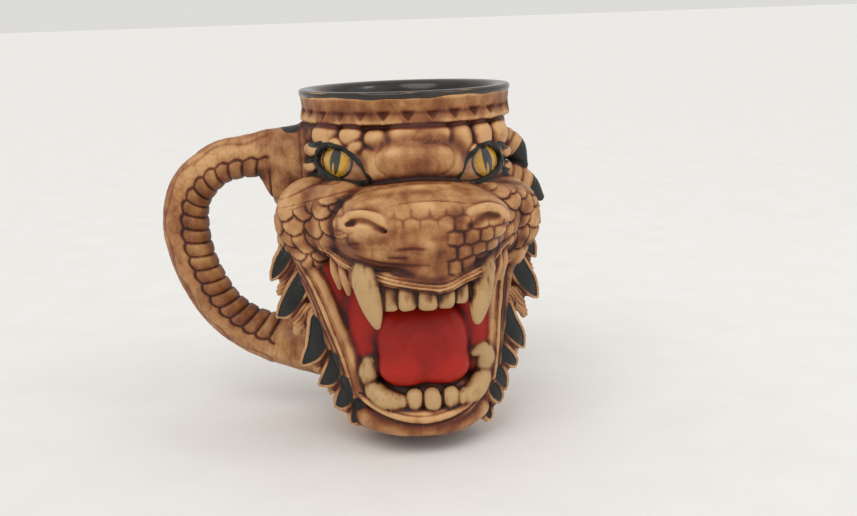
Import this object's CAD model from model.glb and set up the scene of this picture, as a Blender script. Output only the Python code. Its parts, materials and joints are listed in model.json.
"""Looks of the beast-head mug: one sculpted skin, cut into the mug's pieces, with stained and painted clay.

The skin is modelled in millimetres as a field of signed distances, in the frame of the CAD model. Soft forms
are pressed together in it as clay would be, the surface is drawn from it, and the fine carving (scales, belly
plates, notches, wrinkles) is then pushed into that surface. Each face of the surface belongs to the form it
lies nearest, which is how it is cut into pieces; only the foot, the belly plates and the handle's ridge are
told by where they lie. "left" is -X, the handle's side, as seen from in front of the face.
"""

import json
import math

import bpy
import numpy as np
from mathutils import Matrix, Vector


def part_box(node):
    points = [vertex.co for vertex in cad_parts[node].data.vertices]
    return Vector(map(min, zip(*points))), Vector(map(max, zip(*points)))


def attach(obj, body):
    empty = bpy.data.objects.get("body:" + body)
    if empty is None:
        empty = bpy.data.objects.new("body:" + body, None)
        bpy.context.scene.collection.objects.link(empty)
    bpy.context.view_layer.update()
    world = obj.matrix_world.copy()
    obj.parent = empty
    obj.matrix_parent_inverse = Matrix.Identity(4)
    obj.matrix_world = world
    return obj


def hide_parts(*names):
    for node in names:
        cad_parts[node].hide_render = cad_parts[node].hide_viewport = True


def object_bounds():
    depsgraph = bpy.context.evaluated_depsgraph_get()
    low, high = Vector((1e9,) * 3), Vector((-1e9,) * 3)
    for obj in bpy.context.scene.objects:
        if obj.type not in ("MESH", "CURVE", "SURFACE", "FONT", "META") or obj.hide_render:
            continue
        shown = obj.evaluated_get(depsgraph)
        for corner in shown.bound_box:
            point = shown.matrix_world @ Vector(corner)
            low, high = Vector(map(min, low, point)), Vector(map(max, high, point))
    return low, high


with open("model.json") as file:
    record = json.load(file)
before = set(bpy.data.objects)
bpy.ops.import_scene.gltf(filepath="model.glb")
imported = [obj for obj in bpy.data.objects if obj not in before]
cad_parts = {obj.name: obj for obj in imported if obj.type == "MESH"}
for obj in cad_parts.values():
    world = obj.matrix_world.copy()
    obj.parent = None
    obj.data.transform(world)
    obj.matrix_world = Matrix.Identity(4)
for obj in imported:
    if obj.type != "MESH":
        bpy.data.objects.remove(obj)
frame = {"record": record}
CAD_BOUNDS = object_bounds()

MM = 0.001
STEP = 0.56  # the side of one cell of the clay
FAR = 50.0  # what a cell holds where there is no clay near
SPARE = 2.5  # how far outside its box a form is still worked out
BELOW, ABOVE = -10.0, 400.0  # heights past either end of the mug
GLAZE = 0.5  # the thickness of the glaze over the rim
SIDES = (("left", -1), ("right", 1))
CORNERS = [(i, j, k) for i in (0, 1) for j in (0, 1) for k in (0, 1)]
NEIGHBOURS = [(i, j, k) for i in (-1, 0, 1) for j in (-1, 0, 1) for k in (-1, 0, 1)]
TEETH = ("upper_incisors", "upper_fang", "lower_incisors", "lower_canine", "lower_molar")


def size_of(node):
    """A node's size in millimetres."""
    low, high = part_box(node)
    return [(b - a) / MM for a, b in zip(low, high)]


def top_of(node):
    """The height of a node's top in millimetres."""
    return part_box(node)[1][2] / MM


WALL_R = size_of("cup_wall")[0] / 2
FOOT_R = size_of("base_slab")[0] / 2
COLLAR_R = size_of("rim_collar")[0] / 2
LIP_R = size_of("inner_glaze")[0] / 2
MUG_HEIGHT = top_of("inner_glaze")
SLAB_TOP = top_of("base_slab")
COLLAR_LOW = MUG_HEIGHT - size_of("rim_collar")[2] - GLAZE
SNOUT_FRONT = -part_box("snout")[0][1] / MM
CHART_R = WALL_R + 2.0  # the cylinder on which places round the head are measured


def on_wall(radius, degrees, height):
    """A point at that radius and height, that many degrees round from the front towards +X."""
    angle = math.radians(degrees)
    return (radius * math.sin(angle), -radius * math.cos(angle), height)


# ---------------------------------------------------------------- forms: functions of x, y and z with a box


def smooth_route(points, parts):
    """More points on a smooth curve through the given ones, whose fourth number, if any, is a radius."""
    p = np.array(points, float)
    padded = np.vstack([2 * p[0] - p[1], p, 2 * p[-1] - p[-2]])
    out = []
    for i in range(len(p) - 1):
        a, b, c, d = padded[i : i + 4]
        for t in np.arange(parts) / parts:
            cubic = 2 * b + (c - a) * t + (2 * a - 5 * b + 4 * c - d) * t**2 + (3 * b - a - 3 * c + d) * t**3
            out.append(cubic / 2)
    out.append(p[-1])
    return np.array(out)


def ellipsoid(centre, radii, spin=0.0, power=2.0):
    """An ellipsoid turned by spin degrees about Z; a power above 2 makes it boxier."""
    s, c = math.sin(math.radians(spin)), math.cos(math.radians(spin))

    def distance(x, y, z):
        dx, dy, dz = x - centre[0], y - centre[1], z - centre[2]
        ax, ay = dx * c + dy * s, dy * c - dx * s
        far = np.sqrt(ax**2 + ay**2 + dz**2)
        k = np.abs(ax / radii[0]) ** power + np.abs(ay / radii[1]) ** power + np.abs(dz / radii[2]) ** power
        k = np.maximum(k, 1e-6) ** (1.0 / power)
        return far * (1.0 - 1.0 / k)

    reach = max(radii) * 1.25
    return distance, [v - reach for v in centre], [v + reach for v in centre]


def limb(points, parts=5, flat=None, amount=1.0):
    """A tapering rope of clay through points (x, y, z, radius), squeezed by amount along direction flat."""
    route = smooth_route(points, parts)
    radii = np.maximum(route[:, 3], 0.3)
    squeeze = None if flat is None else np.array(flat, float) / np.linalg.norm(flat)

    def distance(x, y, z):
        best = None
        for a, b, ra, rb in zip(route[:-1], route[1:], radii[:-1], radii[1:]):
            along = b[:3] - a[:3]
            length2 = max(float(along @ along), 1e-6)
            dx, dy, dz = x - a[0], y - a[1], z - a[2]
            t = np.clip((dx * along[0] + dy * along[1] + dz * along[2]) / length2, 0.0, 1.0)
            qx, qy, qz = dx - t * along[0], dy - t * along[1], dz - t * along[2]
            if squeeze is not None:
                off = (qx * squeeze[0] + qy * squeeze[1] + qz * squeeze[2]) * (amount - 1.0)
                qx, qy, qz = qx + off * squeeze[0], qy + off * squeeze[1], qz + off * squeeze[2]
            d = np.sqrt(qx**2 + qy**2 + qz**2) - (ra + (rb - ra) * t)
            best = d if best is None else np.minimum(best, d)
        return best

    reach = float(radii.max())
    return distance, list(route[:, :3].min(0) - reach), list(route[:, :3].max(0) + reach)


def lathe(profile, low_z=BELOW, high_z=ABOVE):
    """A turned form from (height, radius) pairs, cut off flat at low_z and high_z."""
    heights, radii = zip(*profile)
    reach = max(radii)

    def distance(x, y, z):
        side = np.hypot(x, y) - np.interp(z, heights, radii)
        return np.maximum(side, np.maximum(low_z - z, z - high_z))

    return distance, [-reach, -reach, low_z], [reach, reach, high_z]


# ---------------------------------------------------------------- the clay


class Clay:
    """A block of signed distances in millimetres, with the number of the piece nearest to each cell."""

    def __init__(self, low, high):
        self.low = np.array(low, float)
        self.count = np.ceil((np.array(high) - self.low) / STEP).astype(int) + 1
        self.axes = [(self.low[i] + STEP * np.arange(self.count[i])).astype(np.float32) for i in range(3)]
        self.field = np.full(self.count, FAR, np.float32)
        self.near = np.full(self.count, FAR, np.float32)
        self.owner = np.zeros(self.count, np.int16)
        self.names = []

    def number(self, name):
        """The number that stands for a piece in the owners, given out at its first form."""
        if name not in self.names:
            self.names.append(name)
        return self.names.index(name)

    def window(self, low, high, margin):
        """The slices of the block, and the x, y and z of their cells, that hold a box with a margin."""
        cuts = []
        for i in range(3):
            first = int(np.clip((low[i] - margin - self.low[i]) // STEP, 0, self.count[i] - 2))
            last = int(np.clip((high[i] + margin - self.low[i]) // STEP + 2, first + 2, self.count[i]))
            cuts.append(slice(first, last))
        grid = np.meshgrid(*[self.axes[i][c] for i, c in enumerate(cuts)], indexing="ij", sparse=True)
        return tuple(cuts), grid

    def add(self, name, form, blend=1.0):
        """Presses a form into the block; blend is the width of the fillet where it meets what is there."""
        distance, low, high = form
        cuts, grid = self.window(low, high, blend + SPARE)
        new = distance(*grid).astype(np.float32)
        old = self.field[cuts]
        h = np.clip(0.5 + 0.5 * (old - new) / blend, 0.0, 1.0)
        self.field[cuts] = old + (new - old) * h - blend * h * (1.0 - h)
        nearer = new < self.near[cuts]
        self.near[cuts] = np.where(nearer, new, self.near[cuts])
        self.owner[cuts] = np.where(nearer, self.number(name), self.owner[cuts])

    def carve(self, form, blend=1.0):
        """Takes a form out of the block, with edges rounded over blend."""
        distance, low, high = form
        cuts, grid = self.window(low, high, blend + SPARE)
        hole = -distance(*grid).astype(np.float32)
        old = self.field[cuts]
        h = np.clip(0.5 - 0.5 * (old - hole) / blend, 0.0, 1.0)
        self.field[cuts] = old + (hole - old) * h + blend * h * (1.0 - h)

    def cut_floor(self):
        """Cuts the clay off flat at height 0."""
        self.field = np.maximum(self.field, -self.axes[2][None, None, :])

    def surface(self):
        """Vertices and outward-facing quads of the zero surface, one vertex in each cell that it crosses."""
        inside = self.field < 0
        shape = np.array(inside.shape) - 1

        def shifted(array, c):
            return array[c[0] : c[0] + shape[0], c[1] : c[1] + shape[1], c[2] : c[2] + shape[2]]

        filled = np.zeros(shape, np.uint8)
        for c in CORNERS:
            filled += shifted(inside, c)
        cells = np.argwhere((filled > 0) & (filled < 8))
        number = np.full(shape, -1, np.int32)
        number[tuple(cells.T)] = np.arange(len(cells))
        total = np.zeros((len(cells), 3))
        hits = np.zeros(len(cells))
        for axis in range(3):
            for c in CORNERS:
                if c[axis]:
                    continue
                far = list(c)
                far[axis] = 1
                a = self.field[tuple((cells + c).T)]
                b = self.field[tuple((cells + far).T)]
                crossed = (a < 0) != (b < 0)
                t = np.where(crossed, a / np.where(crossed, a - b, 1.0), 0.0)
                for i in range(3):
                    total[:, i] += crossed * (c[i] + (t if i == axis else 0.0))
                hits += crossed
        vertices = self.low + STEP * (cells + total / hits[:, None])
        quads = []
        for axis in range(3):
            near = [slice(1, n) for n in shape]
            near[axis] = slice(0, shape[axis])
            far = list(near)
            far[axis] = slice(1, shape[axis] + 1)
            a, b = inside[tuple(near)], inside[tuple(far)]
            edges = np.argwhere(a != b)
            leaving = a[tuple(edges.T)]
            for i in range(3):
                if i != axis:
                    edges[:, i] += 1
            u, v = np.zeros(3, int), np.zeros(3, int)
            u[(axis + 1) % 3] = 1
            v[(axis + 2) % 3] = 1
            ring = [number[tuple((edges - o).T)] for o in (u + v, v, 0 * u, u)]
            quad = np.stack(ring, 1)
            quads.append(np.where(leaving[:, None], quad, quad[:, ::-1]))
        return vertices, np.vstack(quads)

    def sample(self, grid, places):
        """The value of a grid at places, by the eight cells round each."""
        q = (places - self.low) / STEP
        base = np.clip(np.floor(q).astype(int), 0, np.array(grid.shape) - 2)
        f = q - base
        out = np.zeros(len(places))
        for i, j, k in CORNERS:
            weight = (f[:, 0] if i else 1 - f[:, 0]) * (f[:, 1] if j else 1 - f[:, 1])
            weight = weight * (f[:, 2] if k else 1 - f[:, 2])
            out += weight * grid[base[:, 0] + i, base[:, 1] + j, base[:, 2] + k]
        return out

    def crowding(self, width, places):
        """How much clay is within about width of each place: 0.5 on a flat face, more in a hollow."""
        grid = np.clip(0.5 - self.field / STEP, 0.0, 1.0)
        reach = max(1, round(width / STEP / 2))
        for _ in range(2):
            for axis in range(3):
                total = np.cumsum(grid, axis=axis, dtype=np.float32)
                ahead = np.roll(total, -reach, axis)
                behind = np.roll(total, reach + 1, axis)
                grid = np.clip((ahead - behind) / (2 * reach + 1), 0.0, 1.0)
        return self.sample(grid, places)


# ---------------------------------------------------------------- the forms of the mug

HANDLE_SWEEP = math.radians(12.0)
HANDLE_ROUTE = (
    # distance from the cup's axis, height, radius
    (36.0, 116.0, 15.5),
    (51.0, 118.4, 11.6),
    (68.0, 118.0, 9.3),
    (85.0, 114.0, 9.0),
    (97.5, 101.5, 9.5),
    (100.0, 85.0, 9.8),
    (96.0, 67.0, 9.6),
    (87.0, 50.5, 9.4),
    (74.0, 39.5, 9.8),
    (57.0, 33.5, 11.5),
    (38.0, 32.0, 15.0),
)


def handle_point(distance, height):
    """A point of the handle's plane, at that distance from the cup's axis and that height."""
    return (-distance * math.cos(HANDLE_SWEEP), distance * math.sin(HANDLE_SWEEP), height)


HORNS = {
    "horn_right_upper": ((38, 2, 121, 7.5), (46.5, 2, 118, 6.2), (52, 2, 109.5, 2.2)),
    "horn_right_lower": ((41, -3, 104.5, 8), (51.5, -1, 101.5, 5.8), (59, 1, 94.8, 2.0)),
}


EYES = {
    # the almond opening of each eye in its chart: distance round the cup from the front, and height
    "left": {"inner": (20.4, 111.8), "outer": (46.4, 118.1), "iris": (35.2, 118.8), "rise": 9.0, "fall": 2.6},
    "right": {"inner": (16.4, 110.9), "outer": (39.8, 115.8), "iris": (31.2, 116.4), "rise": 9.0,
              "fall": 3.4},
}


LEAVES = {
    # the middle line of each black leaf of the frill, and its half width
    "left": (
        (((-50, -11, 91), (-54, -11, 86.5), (-56.5, -10.5, 81.5)), 2.1),
        (((-52.0, -10, 79.5), (-56.2, -12, 74), (-61.0, -12, 67.6)), 2.9),
        (((-46.2, -19, 69), (-50.8, -21, 62.4), (-55.1, -20.5, 56.4), (-59.3, -20, 53)), 3.8),
        (((-40.8, -32, 53), (-41.5, -32.5, 47.4), (-44.2, -32, 40.8), (-50.2, -30, 34.2)), 4.4),
        (((-34.2, -36, 39.6), (-35.3, -36.5, 34.6), (-38.7, -36, 30.0), (-43.2, -34, 26.4)), 3.7),
        (((-30.4, -39.5, 29.4), (-31.0, -40, 24.8), (-34.1, -39.5, 20.4), (-36.9, -38.5, 18.2)), 3.4),
        (((-26.3, -41, 20.2), (-27.0, -41.5, 16.4), (-29.2, -41, 13.1), (-30.7, -40, 11.2)), 2.7),
    ),
    "right": (
        (((44.5, -13, 81), (49, -15, 77), (52.8, -15, 71.6)), 2.9),
        (((41.2, -21, 72), (44.4, -21.5, 65.8), (48.2, -21, 60.2), (52.2, -19, 54.4)), 4.0),
        (((34, -33, 53.4), (36.2, -33, 47), (40, -31.5, 41.5), (44, -28, 35)), 3.9),
        (((30.8, -37, 38), (33.4, -37, 35), (36.6, -35.5, 31.8), (39.2, -33, 28.7)), 2.7),
        (((28.4, -40, 29.4), (30.8, -40, 26.2), (34, -38, 20.3)), 2.9),
        (((26.6, -41.4, 22.4), (28.8, -41.4, 19.4), (31, -39.5, 15.1)), 2.6),
        (((23.8, -41.4, 15.4), (25.4, -41.4, 10.8), (26.4, -40.4, 8.2)), 1.8),
    ),
}


STRAPS = {
    # the skin down each side of the mouth: x, y, z and radius
    "left": ((43.5, -31, 84, 8.4), (40.6, -35.5, 70, 7.6), (36, -39, 54, 6.6), (32, -41, 40, 6.0),
             (28.4, -41.4, 27, 5.6), (25, -40, 18, 5)),
    "right": ((36, -31, 84, 7.4), (32.2, -36, 70, 6.6), (29.4, -39, 54, 5.8), (27.6, -40.6, 40, 5.4),
              (25.8, -41, 27, 5.2), (23.2, -40, 17, 4.6)),
}


SHEETS = {
    # the skin that the frill grows from, behind each strap
    "left": ((46, -11, 84, 7), (43.5, -16, 67, 6.8), (39, -22, 50, 6.4), (34.5, -27.5, 36, 6),
             (29.5, -32, 23, 5.4), (24, -34, 14, 4.6)),
    "right": ((40, -10, 82, 7), (37.5, -16, 66, 6.6), (33.8, -22, 50, 6.2), (30.8, -27, 36, 6),
              (27.5, -32, 23, 5.4), (23, -34, 14, 4.6)),
}


CORDS = {
    # the light ridge along the edge of the open mouth, and a thinner one outside it
    "left": (
        ((46, -39, 80, 1.0), (40.6, -43.8, 70.7, 1.4), (35, -46.0, 55.1, 1.6), (30.5, -47.2, 41.3, 1.7),
         (27, -47.2, 26, 1.6)),
        ((48, -36, 80, 0.8), (44, -41.5, 71, 1.1), (38, -44.8, 55, 1.2), (33.2, -46.2, 40, 1.2),
         (29.2, -46, 25, 1.0)),
    ),
    "right": (
        ((33, -43.5, 83, 1.0), (29.4, -45.6, 74.5, 1.3), (27.7, -46.6, 60.3, 1.5), (26.6, -47.2, 45.4, 1.6),
         (25, -47, 30, 1.5)),
        ((36.6, -42, 82, 0.8), (33, -44.8, 72, 1.1), (31, -45.8, 58, 1.2), (29.8, -46.3, 44, 1.1),
         (27.6, -46, 28, 0.9)),
    ),
}


def add_cup(clay):
    """The tapering wall, the foot and the collar's band."""
    middle = FOOT_R + 0.45 * (WALL_R - FOOT_R)
    body = [(BELOW, FOOT_R - 1.5), (0, FOOT_R - 1.2), (1.5, FOOT_R), (SLAB_TOP, FOOT_R + 0.3)]
    body += [(30, middle), (60, WALL_R), (ABOVE, WALL_R)]
    clay.add("cup_wall", lathe(body), 0.1)
    clay.add("base_slab", lathe(body[:4] + [(ABOVE, 1.0)], high_z=SLAB_TOP), 0.1)
    low, high = COLLAR_LOW, MUG_HEIGHT
    band = [(low, COLLAR_R - 0.9), (low + 1.2, COLLAR_R), (low + 5, COLLAR_R - 0.9), (high - 2, COLLAR_R)]
    clay.add("rim_collar", lathe(band, low_z=low), 1.2)


def almond(side, u, v):
    """How far a place of the chart is inside the eye's opening, how far along it, and its middle line."""
    eye = EYES[side]
    (u0, v0), (u1, v1) = eye["inner"], eye["outer"]
    along = np.clip((u - u0) / (u1 - u0), 0.0, 1.0)
    chord = v0 + (v1 - v0) * along
    bow = (4 * along * (1 - along)) ** 0.62
    inside = np.minimum(chord + eye["rise"] * bow - v, v - chord + eye["fall"] * bow)
    beyond = np.maximum(u0 - u, u - u1)
    return np.where(beyond > 0, -np.hypot(beyond, np.minimum(inside, 0.0)), inside * 0.85), along, chord


def eye_socket(side, sign):
    """The deep opening in the lids that shows the eyeball."""
    floor_r = WALL_R - 1.5

    def distance(x, y, z):
        u = np.arctan2(x * sign, -y) * CHART_R
        inside, _, _ = almond(side, u, z)
        return np.maximum(-inside, floor_r - np.hypot(x, y))

    middle = on_wall(46, sign * 46.0, 117.5)
    reach = (21, 21, 13)
    return distance, [a - b for a, b in zip(middle, reach)], [a + b for a, b in zip(middle, reach)]


def add_upper_head(clay):
    """The brow, lids, cheeks and muzzle, with the nostrils and the eye sockets carved out."""
    front = SNOUT_FRONT
    knobs = {
        "left": ((54, 128.6, 9.4, 6.4), (36, 129.0, 6.6, 5.2), (21.5, 127.4, 6.8, 5.4), (32, 125.4, 5.6, 4.0),
                 (25.5, 122.6, 5, 4.2), (44, 126.2, 5.6, 3.8)),
        "right": ((23.5, 126.0, 6.8, 8.2), (38, 127.4, 6.6, 6.4), (55, 126.4, 7.4, 7.4),
                  (29.5, 121.5, 4.4, 4.2)),
    }
    folds = {
        "left": ((67, 122.4, 9.5), (70, 115.4, 9.5), (70, 108.0, 9)),
        "right": ((61, 118.2, 8.0), (63, 111.8, 8.0), (64, 105.4, 7.5)),
    }
    cheeks = {"left": (-41.2, 96.0), "right": (34.8, 93.0)}
    for side, sign in SIDES:
        for degrees, height, wide, tall in knobs[side]:
            where = on_wall(WALL_R - 0.4, sign * degrees, height)
            knob = ellipsoid(where, (wide - 0.4, 5.8, tall - 0.3), spin=sign * degrees, power=2.1)
            clay.add(f"brow_knobs_{side}", knob, 0.6)
        eye = EYES[side]["iris"]
        turn = sign * math.degrees((eye[0] - 1.5) / CHART_R)
        where = on_wall(WALL_R - 1.5, turn, eye[1] - 1.0)
        clay.add(f"eyelid_{side}", ellipsoid(where, (15.5, 6.2, 9.6), spin=turn, power=2.3), 2.0)
        for degrees, height, wide in folds[side]:
            where = on_wall(WALL_R - 0.5, sign * degrees, height)
            clay.add(f"eye_folds_{side}", ellipsoid(where, (wide, 5.6, 3.7), spin=sign * degrees), 0.8)
    clay.add("forehead_plate", ellipsoid((0.5, -39.8, 128.6), (14.4, 7.8, 6.2), power=2.2), 1.0)
    clay.add("nose_boss", ellipsoid((-1.2, -40.8, 117.6), (20.0, 11.0, 11.2), power=2.3), 3.4)
    for side, sign in SIDES:
        x, z = cheeks[side]
        name = f"cheek_{side}"
        clay.add(name, ellipsoid((sign * 31, -37, z + 7), (14, 12.5, 7.5), spin=sign * 30), 4.0)
        clay.add(name, ellipsoid((x, -24, z - 0.5), (15.5, 21.5, 16.5), spin=sign * 18, power=2.2), 3.0)
        clay.add(name, ellipsoid((x * 0.8, -40, z), (12, 17, 14.5)), 5.0)
        clay.add(name, ellipsoid((x * 0.99, -32, z - 12.5), (9.5, 13, 8.5), spin=sign * 18), 3.0)
    clay.add("snout", ellipsoid((-1.7, -front + 26, 94.2), (33.8, 26, 17.6), power=2.5), 2.0)
    clay.add("snout", ellipsoid((2.5, -front + 14.5, 80.8), (16, 13, 9), power=2.2), 5.0)
    clay.add("snout", ellipsoid((-1, -front + 24, 102.4), (21.5, 19, 7.8), power=2.1), 4.0)
    crest = [(-24.5, -57, 105.0, 1.8), (-13, -61.0, 107.8, 2.2), (0, -61.5, 108.8, 2.3),
             (11, -59, 107.4, 2.1), (21, -56, 103.6, 1.7)]
    clay.add("snout", limb(crest), 3.0)
    for sign in (-1, 1):
        clay.add("snout", ellipsoid((sign * 22 - 1.5, -front + 12.8, 98.2), (12.4, 11.6, 8.8)), 4.0)
    rims = (
        [(-31, -70, 101.8, 1.2), (-27, -73, 103.8, 1.5), (-22.4, -74, 103.0, 1.6), (-18, -73, 100.2, 1.2),
         (-15.4, -71.8, 98.2, 1.0)],
        [(13.5, -71.5, 98.6, 1.2), (17, -73, 102.4, 1.3), (22, -73.4, 104.0, 1.6), (27.2, -71.6, 102.4, 1.5),
         (29.4, -69.6, 98.8, 1.5)],
    )
    for rim in rims:
        clay.add("snout", limb(rim), 2.2)
    left_slit = [(-31, -71.5, 99.8, 0.8), (-27, -75, 101.4, 1.6), (-22.9, -76, 100.4, 1.7),
                 (-19, -75.2, 98, 1.2), (-16.4, -73.6, 96.6, 0.5)]
    clay.carve(limb(left_slit), 1.2)
    right_slit = [(15.2, -75, 97.4, 0.6), (18.0, -75.8, 98.8, 1.4), (22, -75.8, 100.4, 1.7),
                  (26.2, -74.2, 100.2, 1.0)]
    clay.carve(limb(right_slit), 1.6)
    for side, sign in SIDES:
        clay.carve(eye_socket(side, sign), 0.5)


def add_mouth(clay):
    """The lining, gum, lips, jaw, tongue, and the straps and cords of skin beside them."""
    front = SNOUT_FRONT
    panel = lathe([(0, WALL_R + 2.6), (200, WALL_R + 2.6)], 24, 80)

    def lining(x, y, z):
        return np.maximum(panel[0](x, y, z), np.maximum(np.abs(x) - 32, y + 26))

    clay.add("mouth_lining", (lining, [-33, -46, 23], [33, -25, 81]), 1.0)
    sides = ([(-37, -37.5, 77, 5), (-31.5, -39.5, 62, 5.4), (-25.5, -41.5, 46, 5.4), (-20, -42, 36, 5)],
             [(27, -40, 76, 4.4), (24.5, -42, 60, 4.6), (22, -42.5, 46, 4.6), (19, -43, 36, 4.4)])
    for route in sides:
        clay.add("mouth_lining", limb(route), 3.0)
    clay.add("mouth_lining", ellipsoid((-22.5, -42.5, 52), (10, 8, 26), spin=-14), 3.0)
    clay.add("mouth_lining", ellipsoid((19.5, -43.5, 52), (8, 7.5, 24), spin=10), 3.0)
    clay.add("upper_gum", ellipsoid((0, -front + 18, 77.6), (27.5, 14.6, 5.6), power=2.4), 1.0)
    lip = [(-38.5, -46, 87, 1.5), (-31, -60, 82.4, 2.0), (-16, -68.6, 77, 2.3), (3, -71.6, 73.8, 2.6),
           (14, -69, 77, 2.3), (24.5, -62.5, 81.2, 2.0), (33.5, -50, 86.5, 1.5)]
    clay.add("upper_lip", limb(lip), 2.4)
    for side, sign in SIDES:
        for route in (STRAPS[side], SHEETS[side]):
            clay.add(f"jaw_strap_{side}", limb([(sign * x, y, z, r) for x, y, z, r in route]), 3.5)
    clay.add("lower_jaw", ellipsoid((-2.4, -36, 14.6), (28, 20.6, 9.2), power=2.4), 3.0)
    clay.add("lower_jaw", ellipsoid((-3, -29, 9), (25.5, 14, 7.4), power=2.2), 3.0)
    clay.add("tongue", ellipsoid((-1.7, -48.5, 46.2), (18.6, 10.4, 16.4), power=2.6), 2.6)
    for sign in (-1, 1):
        clay.add("tongue", ellipsoid((sign * 8 - 1.5, -52, 36.5), (10.4, 7.6, 7.6)), 3.0)
    clay.carve(limb([(-1.6, -61.2, 27, 1.0), (-1.6, -61.4, 33, 1.0), (-1.6, -61, 40, 0.5)]), 2.2)
    clay.add("lower_lip", ellipsoid((-1, -40, 25.4), (25.5, 14.8, 6.0), power=2.6), 1.2)
    lip = [(-28, -42, 30, 1.8), (-25, -48.6, 24, 2.6), (-15.5, -54.8, 18.8, 3.0), (-3, -57.2, 17, 3.2),
           (10.5, -55.6, 18, 3.0), (19.8, -50.6, 22.6, 2.8), (25.5, -44, 30, 1.8)]
    clay.add("lower_lip", limb(lip), 1.8)
    roll = [(-24, -46, 14.5, 3.0), (-13, -53, 12.2, 3.6), (-1, -55, 11.8, 3.8), (11, -53, 12.4, 3.6),
            (22, -46, 15, 3.0)]
    clay.add("lower_jaw", limb(roll), 4.0)
    for side, sign in SIDES:
        for cord in CORDS[side]:
            clay.add(f"mouth_cord_{side}", limb([(sign * x, y, z, r) for x, y, z, r in cord]), 2.4)


def add_teeth(clay):
    for x, y, z, wide, tall in ((-15.4, -65.6, 70.4, 3.4, 6.4), (-8.9, -68.0, 70, 3.6, 5.8),
                                (-1.4, -69.2, 69.4, 4.0, 5.4), (5.8, -68.4, 69.8, 3.5, 5.4),
                                (12.2, -66.0, 71.4, 3.1, 6.0)):
        clay.add("upper_incisors", ellipsoid((x, y + 0.6, z), (wide + 0.2, 4.2, tall), power=3.6), 0.5)
    fangs = {
        "left": [(-24.4, -60, 84, 5.2), (-23.9, -64.4, 77, 6.0), (-22.8, -67.0, 68, 4.5),
                 (-21.5, -68.2, 61.5, 2.4), (-20.9, -68.2, 58.8, 1.3)],
        "right": [(22.2, -60.5, 83, 4.6), (20.9, -64.4, 75, 5.2), (19.7, -66.2, 66.5, 4.3),
                  (18.6, -66.6, 60, 2.6), (18.3, -66.5, 57.8, 1.5)],
    }
    canines = {
        "left": [(-11.4, -54.6, 22.8, 3.7), (-16.4, -53.4, 23.4, 4.6), (-21.2, -50.4, 26.4, 4.3),
                 (-23.6, -47.4, 30, 2.6)],
        "right": [(12.8, -54.2, 22.8, 3.7), (17.9, -52.2, 24.2, 4.4), (22.2, -49, 28.2, 4.1),
                  (24, -47, 31.4, 2.8)],
    }
    molars = {
        "left": [(-23.8, -45.2, 30, 4.4), (-23.8, -47, 34.5, 5.0), (-23.1, -47.2, 38.6, 4.2)],
        "right": [(23.6, -46, 33.5, 4.0), (24.1, -47.2, 38, 4.3), (22.8, -48.4, 41.2, 3.5),
                  (19.4, -49.4, 40.4, 2.0)],
    }
    inward = {"left": 0.0, "right": -3.6}
    for side, sign in SIDES:
        clay.add(f"upper_fang_{side}", limb(fangs[side]), 0.6)
        clay.add(f"lower_canine_{side}", limb(canines[side]), 0.6)
        clay.add(f"lower_molar_{side}", limb(molars[side]), 0.8)
        for x, y, top, low in ((28.2, -60.0, 84, 70), (31.8, -56.0, 85, 69.5), (35.0, -51.0, 85, 71)):
            x = x + inward[side]
            ridge = [(sign * x, y, top, 2.3), (sign * x, y - 0.6, (top + low) / 2, 2.4),
                     (sign * (x - 1), y, low, 1.0)]
            clay.add(f"upper_side_teeth_{side}", limb(ridge), 0.6)
    for x, y in ((-6.4, -55.0), (0.9, -56.0), (8.3, -54.9)):
        clay.add("lower_incisors", ellipsoid((x, y, 23.2), (4.0, 4.0, 5.2), power=2.2), 0.4)


def outward(sign):
    """The direction that the frill's faces look, to the front and the side."""
    return np.array([sign * 0.5, -0.866, 0.0])


def add_frill(clay):
    """The frill's leaves with the folds that join them, and the two horns."""
    for side, sign in SIDES:
        leaves = LEAVES[side]
        for i, (line, half) in enumerate(leaves):
            line = np.array(line, float)
            root = line[0] * 1.5 - line[1] * 0.5
            shares = [0.9] + [1.0, 1.0, 0.8, 0.28][: len(line) - 1] + [0.2]
            route = [(*p, (half * 1.2 + 1.5) * share) for p, share in zip([root, *line], shares)]
            name = f"frill_spike_{side}_{i}"
            clay.add(name, limb(route, flat=outward(sign), amount=1.8), 1.4)
            if i + 1 < len(leaves):
                below = np.array(leaves[i + 1][0], float)
                fold = [(*(below[0] + [0, 1, 4]), 3.2), (*((line[-2] + below[0]) / 2 + [0, 2, 0]), 4.0),
                        (*((line[-1] + below[-2]) / 2 + [0, 3, 0]), 2.0)]
                clay.add(name, limb(fold, flat=outward(sign), amount=1.3), 1.4)
    for name, route in HORNS.items():
        clay.add(name, limb(route), 2.0)


def add_handle(clay):
    """The serpent's body, and the web of clay under its upper root."""
    route = [(*handle_point(distance, height), radius) for distance, height, radius in HANDLE_ROUTE]
    clay.add("handle", limb(route, parts=8), 6.0)
    web = [(*handle_point(55, 107), 8.0), (*handle_point(50.5, 100), 8.5), (*handle_point(44, 90), 7.5)]
    clay.add("handle", limb(web), 5.0)


def sculpt():
    """The whole mug in clay, in a block a little larger than the CAD model."""
    beside, under, over = 6, 2.0, 1.0
    low = [v / MM - beside for v in CAD_BOUNDS[0][:2]] + [-under]
    high = [v / MM + beside for v in CAD_BOUNDS[1][:2]] + [MUG_HEIGHT + over]
    clay = Clay(low, high)
    add_cup(clay)
    add_handle(clay)
    add_upper_head(clay)
    add_mouth(clay)
    add_frill(clay)
    add_teeth(clay)
    clay.cut_floor()
    return clay


# ---------------------------------------------------------------- helpers for carving the surface


HASH_X, HASH_Y, HASH_Z, HASH_SEED = 73856093, 19349663, 83492791, 2654435
HASH_MIX, HASH_TOP = 1274126177, 0xFFFFFF


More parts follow.
